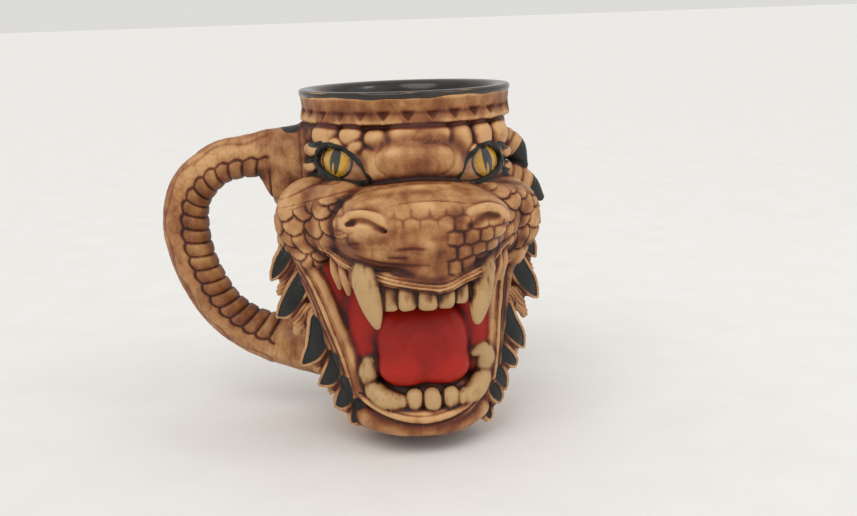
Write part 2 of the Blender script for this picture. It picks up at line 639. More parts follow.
def noise(places, scale, seed=0):
    """Smooth value noise from 0 to 1 with features about scale millimetres across."""
    q = places / scale + seed * 17.3
    base = np.floor(q).astype(np.int64)
    f = q - base
    f = f * f * (3 - 2 * f)
    total = np.zeros(len(places))
    for i, j, k in CORNERS:
        x, y, z = base[:, 0] + i, base[:, 1] + j, base[:, 2] + k
        h = (x * HASH_X) ^ (y * HASH_Y) ^ (z * HASH_Z) ^ (seed * HASH_SEED)
        h = (h ^ (h >> 13)) * HASH_MIX & HASH_TOP
        w = (f[:, 0] if i else 1 - f[:, 0]) * (f[:, 1] if j else 1 - f[:, 1])
        total += w * (f[:, 2] if k else 1 - f[:, 2]) * (h / HASH_TOP)
    return total


def step_up(value, low, high):
    """0 where value is under low, 1 where it is over high, and a smooth rise between."""
    t = np.clip((value - low) / (high - low), 0.0, 1.0)
    return t * t * (3 - 2 * t)


def bell(value, width):
    """1 where value is 0, falling smoothly to nothing over about twice width."""
    return np.exp(-((value / width) ** 2))


def stroke(u, v, points, parts=6):
    """The distance in a flat chart from a brush stroke through points, and how far along it, from 0 to 1."""
    route = smooth_route(points, parts)
    best = np.full(len(u), 1e9)
    where = np.zeros(len(u))
    for i, (a, b) in enumerate(zip(route[:-1], route[1:])):
        along = b - a
        t = np.clip(((u - a[0]) * along[0] + (v - a[1]) * along[1]) / max(along @ along, 1e-9), 0, 1)
        d = np.hypot(u - a[0] - t * along[0], v - a[1] - t * along[1])
        nearer = d < best
        best = np.where(nearer, d, best)
        where = np.where(nearer, (i + t) / (len(route) - 1), where)
    return best, where


def scattered(places, spacing, seed):
    """Indices of places picked so that no two are nearer than spacing."""
    rng = np.random.default_rng(seed)
    taken = {}
    chosen = []
    for i in rng.permutation(len(places)):
        p = places[i]
        key = tuple(np.floor(p / spacing).astype(int))
        clear = True
        for dx, dy, dz in NEIGHBOURS:
            for q in taken.get((key[0] + dx, key[1] + dy, key[2] + dz), ()):
                if (q[0] - p[0]) ** 2 + (q[1] - p[1]) ** 2 + (q[2] - p[2]) ** 2 < spacing**2:
                    clear = False
        if clear:
            taken.setdefault(key, []).append(p)
            chosen.append(i)
    return np.array(chosen)


def in_chunks(places, seeds, work, chunk=4000):
    """Runs work(places, seeds) on a few thousand places at a time, to keep its tables small."""
    parts = [work(places[i : i + chunk], seeds) for i in range(0, len(places), chunk)]
    return [np.concatenate(column) for column in zip(*parts)]


def shingles(places, rank, spacing, radius, seed):
    """Overlapping round scales: the relief from 0 to 1, and the crevice under each free edge from 0 to 1."""
    chosen = scattered(places, spacing, seed)
    seeds = np.column_stack([places[chosen], rank[chosen]])

    def work(p, s):
        d = np.linalg.norm(p[:, None, :] - s[None, :, :3], axis=2)
        covered = d < radius
        score = np.where(covered, s[None, :, 3], -1e9)
        mine = score.argmax(1)
        own = d[np.arange(len(p)), mine]
        above = s[None, :, 3] > s[mine, 3][:, None]
        gap = np.where(above, d - radius, 1e9).min(1)
        relief = np.where(covered.any(1), 0.35 + 0.65 * step_up(own / radius, 0.0, 0.95), 0.0)
        edge = bell(np.maximum(gap, 0.0), 0.75)
        return relief, edge

    return in_chunks(places, seeds, work)


def brick_seeds():
    """Places of the square pads on the muzzle, in staggered rows."""
    rng = np.random.default_rng(5)
    wide, tall, lowest = 6.4, 5.7, 75.5
    places = []
    for row in range(8):
        for column in range(-7, 8):
            x = wide * column + wide / 2 * (row % 2) + rng.uniform(-0.9, 0.9)
            z = lowest + tall * row + rng.uniform(-0.6, 0.6) + 0.10 * abs(column) ** 1.5
            places.append((x, 0.0, z))
    return np.array(places)


def pads(places, seeds, power=3.2):
    """Close-packed squarish pads: the relief from 0 at a joint to 1, and the joint from 0 to 1."""

    def work(p, s):
        d = (np.abs(p[:, None, :] - s[None]) ** power).sum(2) ** (1 / power)
        two = np.partition(d, 1, axis=1)[:, :2]
        edge = (two[:, 1] - two[:, 0]) / 2
        return step_up(edge, 0.0, 1.9), bell(edge, 0.5)

    return in_chunks(places, seeds, work)


def relaxed(values, pairs, count, times):
    """Values spread over their neighbours on the surface a few times."""
    degree = np.bincount(pairs.ravel(), minlength=count)
    for _ in range(times):
        total = np.bincount(pairs[:, 0], values[pairs[:, 1]], count)
        total += np.bincount(pairs[:, 1], values[pairs[:, 0]], count)
        values = (values + total / np.maximum(degree, 1)) / 2
    return values


def vertex_normals(vertices, quads):
    """Each vertex's outward direction, from the quads round it."""
    a = vertices[quads[:, 2]] - vertices[quads[:, 0]]
    b = vertices[quads[:, 3]] - vertices[quads[:, 1]]
    face = np.cross(a, b)
    total = np.zeros_like(vertices)
    for corner in range(4):
        for i in range(3):
            total[:, i] += np.bincount(quads[:, corner], face[:, i], len(vertices))
    return total / np.maximum(np.linalg.norm(total, axis=1, keepdims=True), 1e-12)


class Skin:
    """The drawn surface with its owners, its relief still to be pushed in, and its paint."""

    def __init__(self, clay):
        self.places, self.quads = clay.surface()
        self.names = list(clay.names)
        self.count = len(self.places)
        cell = np.clip(np.round((self.places - clay.low) / STEP).astype(int), 0, clay.count - 1)
        self.owner = clay.owner[tuple(cell.T)].astype(int)
        ring = np.concatenate([self.quads[:, [i, (i + 1) % 4]] for i in range(4)])
        self.pairs = np.unique(np.sort(ring, axis=1), axis=0)
        for i in range(3):
            self.places[:, i] = relaxed(self.places[:, i], self.pairs, self.count, 1)
        self.normals = vertex_normals(self.places, self.quads)
        fine_width, broad_width, flat = 1.4, 5.0, 0.5
        fine = clay.crowding(fine_width, self.places) - flat
        broad = clay.crowding(broad_width, self.places) - flat
        self.hollow = np.clip(fine * 2.6 + broad * 2.2, -1.0, 1.0)
        self.relief, self.stain, self.rust, self.black = np.zeros((4, self.count))
        self.x, self.y, self.z = self.places.T
        self.round = np.degrees(np.arctan2(self.x, -self.y))
        self.u = np.radians(self.round) * CHART_R

    def mask(self, *stems):
        """Which vertices belong to the pieces whose names start with one of stems."""
        wanted = [i for i, name in enumerate(self.names) if name.startswith(stems)]
        return np.isin(self.owner, wanted)

    def soft(self, chosen, times):
        """A choice of vertices with its edge blurred."""
        return relaxed(chosen.astype(float), self.pairs, self.count, times)

    def groove(self, depth, amount, stain=0.8):
        """Presses a groove of that depth where amount is 1, and lets stain settle in it."""
        self.relief -= depth * amount
        self.cover("stain", stain * amount)

    def cover(self, paint, amount, where=slice(None)):
        """Brings a paint up to amount at the chosen vertices, where it is less."""
        layer = getattr(self, paint)
        layer[where] = np.maximum(layer[where], amount)


# ---------------------------------------------------------------- carving and paint

NOTCHES = 28
PLATES = 19
PLAIN_END = 24.0  # the length of handle without plates at either end


def carve_collar(skin):
    """A row of uneven three-cornered notches round the collar, and the seam below it."""
    here = skin.mask("rim_collar")
    first, point, top = 0.35, 1.5, 5.9
    half_width, lip_height, depth = 3.5, 0.5, 1.7
    turn = skin.round / 360.0 * NOTCHES + first
    number = np.round(turn)
    jitter = 0.5 * np.sin(number * 12.9) + 0.5 * np.sin(number * 4.7)
    pitch = 2 * math.pi * COLLAR_R / NOTCHES
    across = np.abs(turn - number + 0.04 * jitter) * pitch
    low, high = COLLAR_LOW + point + 0.3 * jitter, COLLAR_LOW + top + 0.3 * jitter
    rise = (skin.z - low) / (high - low)
    inside = np.minimum((rise * (half_width + 0.4 * jitter) - across) * 0.75, (1.0 - rise) * 3.4)
    notch = step_up(inside, -0.2, 1.3)
    ridge = bell(inside + 0.5, 0.42) * step_up(1.2 - rise, 0, 0.3)
    strength = here * (0.85 + 0.15 * jitter)
    skin.relief += strength * (lip_height * ridge - depth * notch)
    skin.stain += here * notch * (0.42 + 0.2 * jitter)
    skin.cover("rust", here * np.maximum(notch, 0.35 * step_up(COLLAR_LOW + 8 - skin.z, 0, 5)))
    around = skin.mask("rim_collar", "cup_wall", "brow", "forehead")
    seam = bell(skin.z - COLLAR_LOW + 0.2, 0.9) * around
    skin.groove(0.2, seam, 0.72)
    skin.cover("rust", 0.7 * seam)


def carve_eyes(skin):
    """The black outline of each almond and the three lash stripes behind it."""
    stripes = {
        "left": (((40.5, 126.0), (48.2, 124.9), (56, 126.0)), ((45.8, 120.4), (52.5, 117.9), (60, 117.2)),
                 ((45, 115.2), (50.5, 112.0), (60, 110.6))),
        "right": (((38.2, 122.6), (45.5, 120.9), (53, 121.8)), ((39.6, 117.6), (46.2, 114.9), (54, 115.2)),
                  ((39, 113.6), (45, 110.8), (53, 108.6))),
    }
    outermost, line_width, stripe_half = 49.5, 1.7, 1.25
    for side, sign in SIDES:
        u, v = skin.u * sign, skin.z
        near = (u > 10) & (u < 68) & (v > 100) & (v < 132) & (skin.y < 16) & ~skin.mask("snout")
        near &= np.hypot(skin.x, skin.y) < outermost
        inside, along, chord = almond(side, u, v)
        rim = bell(inside + 1.4, 1.3) * near
        skin.relief += 0.5 * rim
        corner = bell(along, 0.22)
        width = line_width + 0.5 * (v > chord) + 1.0 * corner * (v > chord)
        skin.cover("black", step_up(inside + width, -0.4, 0.4) * near)
        for points in stripes[side]:
            d, t = stroke(u, v, points)
            skin.cover("black", step_up(stripe_half * (1.0 - 0.35 * t) - d, -0.35, 0.35) * near)
            skin.relief -= 0.5 * bell(d, 1.0) * near


def carve_forehead(skin):
    """Curled lines in the boss, creases round the brow lumps and the brushed streak down the middle."""
    front = skin.mask("nose_boss", "forehead_plate", "brow_knobs")
    curls = (((-14.1, 126.5), (-17.6, 122), (-17.2, 117.5), (-13.6, 114.2)),
             ((2, 126.6), (8, 126.4), (12.6, 124.6), (14.4, 120.6), (12.6, 115.8), (8.4, 113.8)))
    for curl in curls:
        d, _ = stroke(skin.x, skin.z, curl)
        skin.groove(0.5, bell(d, 0.6) * front * (skin.y < -36), 0.5)
    streak = bell(skin.x - 1.0, 6.0) * front * noise(skin.places * [1, 0.4, 2.4], 5.0, 3)
    skin.cover("rust", 0.7 * streak)
    skin.stain += 0.24 * streak - 0.34 * skin.mask("nose_boss")


def carve_snout(skin):
    """Square pads, brushed strokes, the seam over the muzzle and the folds along the lip."""
    here = skin.mask("snout", "upper_lip", "upper_gum")
    index = np.flatnonzero(here)
    p = skin.places[index]
    x, y, z = p.T
    relief, joint = pads(p * [1.0, 0.0, 1.0], brick_seeds())
    lip_line = 76.5 + 0.012 * (x - 3) ** 2
    below = step_up(z - lip_line, 0.0, 2.0)
    right = step_up(x, 5.0, 8.0) * step_up(-z, -100, -96)
    crown = step_up(z, 96, 100) * step_up(19 - np.abs(x - 2), 0, 7) * step_up(-z, -106, -103) * 0.5
    left = step_up(-x, 6.0, 12.0) * step_up(-z, -92, -88) * 0.22
    flank = step_up(-x, 26.0, 30.0) * 0.5
    weight = np.maximum.reduce([right, crown, left, flank]) * below
    skin.relief[index] += weight * (relief - 0.6)
    skin.stain[index] += weight * joint * 0.55
    strokes = (((-28, 87), (-22, 84.6), (-14, 83.2), (-1, 83)), ((-13.5, 89.4), (-8, 89.8), (-2, 89.2)),
               ((-15, 79.6), (-8.4, 78.8)), ((-31, 91), (-27, 92.4)), ((-16, 86.4), (-9, 86.0)))
    for points in strokes:
        d, t = stroke(x, z, points)
        taper = np.sin(np.clip(t, 0.04, 0.96) * math.pi) ** 0.5
        line = bell(d, 0.55) * taper * (y < -50)
        skin.relief[index] -= 0.6 * line
        skin.stain[index] += 0.6 * line
        glow = bell(d, 2.4) * taper * (y < -50)
        skin.cover("rust", 0.8 * glow, index)
        skin.stain[index] += 0.14 * glow
    smudge = step_up(noise(p * [0.45, 0.45, 1.5], 6.0, 9), 0.50, 0.85) * step_up(-z, -104, -96)
    skin.cover("rust", 0.7 * smudge, index)
    skin.stain[index] += 0.16 * smudge
    seam = bell(x - 2.6, 1.5) * step_up(-z, -98, -92) * (y < -60)
    skin.relief[index] += 0.6 * seam
    skin.stain[index] -= 0.1 * seam
    crest = 107.0 - 0.0085 * x**2
    for offset in (0.0, 1.7, 4.2):
        line = bell(z - crest + offset, 0.4) * (y < -50) * (y > -71)
        skin.relief[index] -= 0.25 * line
        skin.stain[index] += 0.28 * line
    lip = ((-38, 86.4), (-29.7, 82.4), (-15.9, 77.2), (3.1, 74.0), (13, 77.0), (23.2, 80.6), (33, 86.2))
    for drop in (1.3, -0.2, -1.9):
        d, _ = stroke(skin.x, skin.z, [(a, b + drop) for a, b in lip])
        skin.groove(0.35, bell(d, 0.34) * here * (skin.y < -44), 0.6)


def carve_cheeks(skin):
    """Overlapping scales on the cheeks, and long flowing wrinkles under the eyes and beside the muzzle."""
    index = np.flatnonzero(skin.mask("cheek"))
    p = skin.places[index]
    x, y, z = p.T
    rank = z + 0.35 * np.abs(y + 10) - 0.25 * np.abs(x)
    relief, edge = shingles(p, rank, spacing=5.7, radius=5.5, seed=21)
    outer = step_up(np.abs(skin.u[index]), 17, 22)
    brow = 108.6 - 0.14 * np.maximum(np.abs(x) - 30, 0) ** 1.2
    weight = outer * step_up(brow - z, 0.0, 3.5)
    skin.relief[index] += weight * (0.9 * relief - 1.15 * edge) + 0.25 * (1 - weight)
    skin.cover("stain", weight * edge * 0.78, index)
    skin.stain[index] += 0.12 * (1 - relief) * weight
    flow = (brow - z) * 1.25 + 2.6 * noise(p * [0.5, 0.5, 1.0], 7.0, 17)
    line = step_up(np.sin(flow * 1.5), 0.80, 1.0) * (1 - weight) * (z < 113)
    skin.relief[index] -= 0.3 * line
    skin.stain[index] += 0.26 * line


def carve_back(skin):
    """Large soft scales round the back of the cup, from the foot to the collar."""
    side, foot, top = 62, 6, 132
    here = skin.mask("cup_wall") & (np.abs(skin.round) > side) & (skin.z > foot) & (skin.z < top)
    index = np.flatnonzero(here)
    p = skin.places[index]
    relief, edge = shingles(p, p[:, 2], spacing=7.2, radius=6.9, seed=31)
    fade = step_up(np.abs(skin.round[index]), 66, 84) * step_up(p[:, 2], 7, 14)
    skin.relief[index] += fade * (relief - 1.1 * edge)
    skin.cover("stain", fade * edge * 0.9, index)


def carve_straps(skin):
    """Long fine wrinkles that run down the sides of the open mouth."""
    for side, sign in SIDES:
        here = skin.mask(f"jaw_strap_{side}", f"mouth_cord_{side}")
        u, v = skin.x * sign, skin.z
        line = [(p[0], p[2]) for p in CORDS[side][0]]
        d, _ = stroke(u, v, line)
        for gap, depth in ((2.9, 0.4), (5.0, 0.3), (6.6, 0.22)):
            wave = gap + 0.5 * (noise(skin.places, 9.0, 7) - 0.5)
            mark = bell(d - wave, 0.36) * here * (skin.y < -36)
            skin.groove(depth, mark, 0.62)
        wrinkle = np.sin(d * 3.0 + 5.0 * noise(skin.places * [1, 1, 0.3], 6.0, 8))
        skin.groove(0.2, here * step_up(wrinkle, 0.5, 1.0) * step_up(d, 6, 9) * 0.7, 0.3)
        skin.stain += here * (0.10 + 0.2 * step_up(noise(skin.places, 2.4, 12), 0.45, 0.9))
        skin.cover("rust", 0.45 * here)
    cords = skin.mask("mouth_cord")
    skin.stain -= 0.22 * skin.soft(cords, 1)


def carve_frill(skin):
    """Black leaf-shaped faces on the spikes, and the fine ribs of the folds between them."""
    for side, sign in SIDES:
        normal = outward(sign)
        across = np.cross(normal, [0, 0, 1.0])
        facing = skin.normals @ normal
        region = skin.mask(f"frill_spike_{side}", f"jaw_strap_{side}")
        chart = skin.places @ across
        ribs = np.zeros(skin.count)
        nearest = np.full(skin.count, 1e9)
        leaves = np.zeros(skin.count)
        rims = np.zeros(skin.count)
        for line, half in LEAVES[side]:
            d, t = stroke(chart, skin.z, [(np.dot(p, across), p[2]) for p in line])
            width = half * 1.25 * (1 - t) ** 0.75 * (0.78 + 1.1 * t)
            edge = width - d
            allowed = region * (facing > 0.1) * (np.abs((skin.places - line[0]) @ normal) < 14)
            leaves = np.maximum(leaves, step_up(edge, -0.3, 0.35) * allowed)
            rims = np.maximum(rims, bell(edge + 0.7, 0.55) * allowed)
            closer = d < nearest
            ribs = np.where(closer, np.sin((d - width) * 2 * math.pi / 1.75), ribs)
            nearest = np.where(closer, d, nearest)
        only = skin.mask(f"frill_spike_{side}")
        band = only * step_up(12.0 - nearest, 0, 3) * (1 - leaves)
        skin.relief += 0.32 * ribs * band - 0.6 * leaves + 0.45 * rims
        skin.stain += band * step_up(-ribs, -0.1, 0.9) * 0.5 * (1 - rims)
        skin.cover("rust", 0.5 * band)
        skin.cover("black", leaves)
    for name, route in HORNS.items():
        here = skin.mask(name)
        root, tip = np.array(route[0][:3]), np.array(route[-1][:3])
        along = (skin.places - root) @ (tip - root) / ((tip - root) @ (tip - root))
        skin.cover("black", here * step_up(along, 0.52, 0.60))
        skin.groove(0.3, here * step_up(np.sin(along * 26), 0.2, 1.0) * (along < 0.5), 0.4)


def carve_mouth(skin):
    """The lines under the lower lip, the stained chin and gum, and the chipped paint of the teeth."""
    jaw = skin.mask("lower_jaw", "lower_lip", "base_slab")
    bow = 0.0135 * (skin.x + 3) ** 2
    line = bell(skin.z - 13.9 - bow, 0.6) * jaw * (skin.y < -34)
    skin.groove(0.8, line, 1.0)
    fold = bell(skin.z - 18.0 - bow, 0.5) * jaw * (skin.y < -40)
    skin.groove(0.4, fold, 0.5)
    chin = jaw * step_up(15 + bow - skin.z, 0.0, 3.0) * (skin.y < -20)
    skin.stain += 0.2 * chin
    skin.cover("rust", 0.7 * chin)
    gum = skin.mask("lower_lip") * step_up(skin.z, 20, 22.5) * step_up(skin.y, -53, -49)
    skin.stain += 0.25 * gum
    teeth = skin.mask(*TEETH)
    chips = step_up(noise(skin.places * [1.4, 1.4, 0.35], 1.9, 14), 0.55, 0.9)
    skin.stain += 0.3 * chips * teeth
    skin.relief -= 0.2 * chips * teeth
    ridges = skin.mask("upper_side_teeth")
    skin.stain += 0.22 * ridges
    skin.cover("rust", 0.75 * ridges)


def handle_chart(skin, index):
    """For handle vertices: how far along, the angle round it (0 inwards, 90 to the front), and its length."""
    route = smooth_route([(*handle_point(d, h), r) for d, h, r in HANDLE_ROUTE], 24)[:, :3]
    lengths = np.concatenate([[0], np.cumsum(np.linalg.norm(np.diff(route, axis=0), axis=1))])
    forward = np.gradient(route, axis=0)
    forward /= np.linalg.norm(forward, axis=1, keepdims=True)
    side = np.array([-math.sin(HANDLE_SWEEP), -math.cos(HANDLE_SWEEP), 0.0])

    def work(p, centres):
        mine = np.linalg.norm(p[:, None, :] - centres[None], axis=2).argmin(1)
        inwards = np.cross(side, forward[mine])
        off = p - centres[mine]
        flow = np.einsum("ij,ij->i", off, forward[mine])
        angle = np.degrees(np.arctan2(off @ side, np.einsum("ij,ij->i", off, inwards)))
        return lengths[mine] + flow, angle

    along, angle = in_chunks(skin.places[index], route, work)
    return along, angle, lengths[-1]


def carve_handle(skin):
    """Belly plates inside the handle, a wavy ridge along its outside and faint scales between."""
    index = np.flatnonzero(skin.mask("handle"))
    along, angle, length = handle_chart(skin, index)
    first, last = PLAIN_END, length - PLAIN_END
    pitch = (last - first) / PLATES
    belly_middle, belly_half = 4.0, 78.0
    off = (angle - belly_middle + 180) % 360 - 180
    reach = np.abs(off) / belly_half
    t = (along - first) / pitch + 0.42 * reach**2
    part = t - np.floor(t)
    scallop = 0.97 + 0.10 * np.sin(part * math.pi)
    to_edge = (scallop - reach) * belly_half * 0.16
    within = step_up(along, first - 2, first) * step_up(-along, -last - 2, -last)
    belly = step_up(to_edge, -0.15, 0.45) * within
    gap = np.minimum(part, 1 - part) * pitch
    joint = bell(gap, 0.62)
    border = bell(to_edge, 0.62) * within
    skin.relief[index] += belly * (0.6 * (1 - (2 * part - 1) ** 4) - 0.2 - 0.5 * joint) - 0.45 * border
    skin.stain[index] += belly * (0.05 + 0.20 * part + 0.16 * step_up(-off, -30, 40))
    skin.cover("stain", np.maximum(joint * belly, border) * 0.74, index)
    spine = (angle - 160 - 7 * np.sin(along * 0.33) + 180) % 360 - 180
    ridge = bell(spine, 13) * within
    flank = bell(np.abs(spine) - 24, 6.0) * within
    skin.relief[index] += 0.45 * ridge - 0.3 * flank
    outside = step_up(np.abs(off), 95, 150) * (0.5 + 0.5 * noise(skin.places[index], 7.0, 19))
    skin.cover("rust", np.maximum(np.maximum(ridge, flank), outside * 0.9), index)
    skin.stain[index] += 0.22 * flank + 0.08 * ridge
    p = skin.places[index]
    relief, edge = shingles(p, -along, spacing=5.6, radius=5.4, seed=41)
    hide = (1 - belly) * (1 - border) * 0.13
    skin.relief[index] += hide * (0.7 * relief - 0.9 * edge)
    skin.stain[index] += hide * edge * 0.7
    mark_x, mark_z = -49.5, 129.8
    mark = np.hypot((p[:, 0] - mark_x) / 4.6, (p[:, 2] - mark_z) / 2.4)
    skin.cover("black", step_up(1.0 - mark, 0.0, 0.3) * 0.8, index)
    parts = {"handle_scutes": belly > 0.5, "handle_ridge": (ridge > 0.4) & (belly <= 0.5)}
    for name, chosen in parts.items():
        skin.names.append(name)
        skin.owner[index[chosen]] = len(skin.names) - 1


def finish_skin(skin):
    """Adds unevenness, lets stain settle in hollows and wear off edges, and pushes the relief in."""
    deepest, highest = -2.6, 1.6
    wobble = noise(skin.places, 11.0, 1) + 0.5 * noise(skin.places, 4.5, 2) - 0.75
    skin.relief += 0.45 * wobble * (skin.z >= SLAB_TOP)
    skin.relief[skin.z < 1.0] = 0.0
    skin.relief = np.clip(relaxed(skin.relief, skin.pairs, skin.count, 1), deepest, highest)
    skin.red = skin.soft(skin.mask("tongue", "mouth_lining"), 2)
    skin.cream = skin.soft(skin.mask(*TEETH), 2)
    base = 0.38 + 1.45 * skin.hollow
    base += 0.22 * (noise(skin.places, 13.0, 4) - 0.5) + 0.18 * (noise(skin.places, 3.0, 6) - 0.5)
    skin.stain = np.clip(base + skin.stain, 0.0, 1.0)
    skin.places = skin.places + skin.normals * skin.relief[:, None]
    skin.places[:, 2] = np.maximum(skin.places[:, 2], 0.0)
    skin.normals = vertex_normals(skin.places, skin.quads)


def carved_skin():
    skin = Skin(sculpt())
    for carve in (carve_collar, carve_eyes, carve_forehead, carve_snout, carve_cheeks, carve_back,
                  carve_straps, carve_frill, carve_mouth, carve_handle):
        carve(skin)
    foot = skin.mask("cup_wall") & (skin.z < SLAB_TOP)
    skin.owner[foot] = skin.names.index("base_slab")
    finish_skin(skin)
    return skin


# ---------------------------------------------------------------- materials


class Nodes:
    """Short forms for building a material's node tree."""

    def __init__(self, name):
        self.material = bpy.data.materials.new(name)
        self.material.use_nodes = True
        self.tree = self.material.node_tree
        self.shader = self.tree.nodes["Principled BSDF"]
        self.coords = self.tree.nodes.new("ShaderNodeTexCoord").outputs["Object"]

    def link(self, source, target):
        self.tree.links.new(source, target)

    def feed(self, socket, value):
        """Sets a socket to a number or a display colour, or links another node's output to it."""
        if isinstance(value, (int, float)):
            socket.default_value = value
        elif isinstance(value, tuple):
            socket.default_value = (*linear(value), 1.0)
        else:
            self.link(value, socket)

    def attribute(self, name):
        node = self.tree.nodes.new("ShaderNodeAttribute")
        node.attribute_name = name
        return node.outputs["Fac"]

    def noise(self, scale, detail, stretch=(1, 1, 1)):
        place = self.tree.nodes.new("ShaderNodeMapping")
        place.inputs["Scale"].default_value = stretch
        self.link(self.coords, place.inputs["Vector"])
        node = self.tree.nodes.new("ShaderNodeTexNoise")
        node.inputs["Scale"].default_value = scale
        node.inputs["Detail"].default_value = detail
        node.inputs["Roughness"].default_value = 0.55
        self.link(place.outputs["Vector"], node.inputs["Vector"])
        return node.outputs["Fac"]

    def maths(self, operation, a, b, clamp=False):
        node = self.tree.nodes.new("ShaderNodeMath")
        node.operation = operation
        node.use_clamp = clamp
        for socket, value in zip(node.inputs, (a, b)):
            self.feed(socket, value)
        return node.outputs[0]

    def ranged(self, value, low, high, to_low=0.0, to_high=1.0):
        node = self.tree.nodes.new("ShaderNodeMapRange")
        node.inputs["From Min"].default_value = low
        node.inputs["From Max"].default_value = high
        node.inputs["To Min"].default_value = to_low
        node.inputs["To Max"].default_value = to_high
        self.link(value, node.inputs["Value"])
        return node.outputs["Result"]

    def ramp(self, value, stops):
        node = self.tree.nodes.new("ShaderNodeValToRGB")
        while len(node.color_ramp.elements) < len(stops):
            node.color_ramp.elements.new(0.5)
        for element, (place, colour) in zip(node.color_ramp.elements, stops):
            element.position = place
            element.color = (*linear(colour), 1.0)
        self.link(value, node.inputs["Fac"])
        return node.outputs["Color"]

    def mix(self, factor, a, b):
        node = self.tree.nodes.new("ShaderNodeMix")
        node.data_type = "RGBA"
        for socket, value in ((0, factor), (6, a), (7, b)):
            self.feed(node.inputs[socket], value)
        return node.outputs[2]

    def bump(self, height, strength, distance):
        node = self.tree.nodes.new("ShaderNodeBump")
        node.inputs["Strength"].default_value = strength
        node.inputs["Distance"].default_value = distance
        self.link(height, node.inputs["Height"])
        self.link(node.outputs["Normal"], self.shader.inputs["Normal"])

    def coat(self, weight, roughness):
        self.shader.inputs["Coat Weight"].default_value = weight
        self.shader.inputs["Coat Roughness"].default_value = roughness

    def rough(self, value, low, high):
        self.link(self.ranged(value, 0.0, 1.0, low, high), self.shader.inputs["Roughness"])


def linear(colour):
    """A colour in 0 to 255 display values as scene-linear values."""
    return tuple((v / 255 / 12.92) if v <= 10 else ((v / 255 + 0.055) / 1.055) ** 2.4 for v in colour)


def painted_clay():
    """Tan clay with brown stain brushed on and wiped off high ground, and black, red and cream paint."""
    n = Nodes("stained_clay")
    blotch = n.noise(70.0, 4.0)
    brush = n.noise(160.0, 4.0, (1.0, 1.0, 0.35))
    speck = n.noise(1500.0, 2.0)
    stain = n.attribute("stain")
    for grain, amount in ((blotch, 0.7), (brush, 0.62), (speck, 0.26)):
        stain = n.maths("ADD", stain, n.maths("MULTIPLY", n.maths("SUBTRACT", grain, 0.5), amount))
    stain = n.maths("ADD", stain, 0.0, True)
    hide = n.ramp(stain, [(0.0, (206, 160, 110)), (0.2, (178, 129, 81)), (0.42, (140, 86, 49)),
                          (0.68, (88, 43, 23)), (1.0, (40, 16, 10))])
    rust = n.maths("MULTIPLY", n.attribute("rust"), n.ranged(brush, 0.3, 0.7, 0.2, 0.85))
    hide = n.mix(n.maths("MULTIPLY", rust, 0.75), hide, (122, 56, 30))
    tooth = n.ramp(stain, [(0.0, (186, 152, 106)), (0.28, (166, 128, 84)), (0.5, (130, 86, 50)),
                           (0.75, (84, 46, 26)), (1.0, (42, 20, 13))])
    colour = n.mix(n.attribute("cream"), hide, tooth)
    red = n.ramp(stain, [(0.0, (168, 28, 12)), (0.55, (140, 18, 8)), (0.85, (92, 12, 8)), (1.0, (38, 8, 6))])
    colour = n.mix(n.ranged(n.attribute("red"), 0.3, 0.7), colour, red)
    ink = n.mix(n.ranged(brush, 0.35, 0.7), (22, 23, 22), (40, 42, 39))
    colour = n.mix(n.ranged(n.attribute("black"), 0.35, 0.65), colour, ink)
    fleck = n.ranged(n.noise(900.0, 1.0), 0.74, 0.80)
    colour = n.mix(n.maths("MULTIPLY", fleck, 0.6), colour, (56, 30, 20))
    n.link(colour, n.shader.inputs["Base Color"])
    n.rough(stain, 0.40, 0.60)
    n.shader.inputs["Specular IOR Level"].default_value = 0.28
    n.coat(weight=0.06, roughness=0.3)
    n.bump(n.noise(520.0, 5.0), strength=0.22, distance=0.0006)
    return n.material


def black_glaze():
    """Glossy fired glaze, with slow dips, pinholes and a browner tint where it runs thin over the lip."""
    n = Nodes("black_glaze")
    pool = n.noise(45.0, 3.0)
    pinhole = n.noise(800.0, 1.0)
    thin = n.attribute("thin")
    body = n.mix(n.ranged(pool, 0.35, 0.65), (22, 22, 23), (34, 34, 35))
    body = n.mix(n.maths("MULTIPLY", thin, n.ranged(pool, 0.3, 0.8)), body, (82, 60, 46))
    n.link(body, n.shader.inputs["Base Color"])
    n.rough(pool, 0.16, 0.3)
    n.shader.inputs["Specular IOR Level"].default_value = 0.4
    n.coat(weight=0.2, roughness=0.08)
    height = n.maths("ADD", n.ranged(pool, 0, 1), n.maths("MULTIPLY", n.ranged(pinhole, 0.7, 0.78), -0.6))
    n.bump(height, strength=0.25, distance=0.0008)
    return n.material


def eye_paint():
    """A yellow iris, browner at its edge, a black pupil and ring, and flesh round them, under clear glaze."""
    n = Nodes("eye_paint")
    cloud = n.noise(260.0, 4.0)
    hair = n.noise(900.0, 3.0)
    yellow = n.mix(n.ranged(cloud, 0.3, 0.7), (214, 168, 34), (186, 132, 28))
    yellow = n.mix(n.maths("MULTIPLY", n.attribute("edge"), n.ranged(hair, 0.3, 0.7)), yellow, (128, 72, 22))
    flesh = n.mix(n.ranged(cloud, 0.35, 0.7), (196, 142, 96), (158, 92, 56))
    colour = n.mix(n.attribute("iris"), flesh, yellow)
    colour = n.mix(n.attribute("ink"), colour, n.mix(n.ranged(hair, 0.3, 0.7), (26, 26, 24), (44, 43, 38)))
    n.link(colour, n.shader.inputs["Base Color"])
    n.rough(cloud, 0.2, 0.34)
    n.coat(weight=0.5, roughness=0.12)
    n.bump(hair, strength=0.1, distance=0.0003)
    return n.material


# ---------------------------------------------------------------- pieces


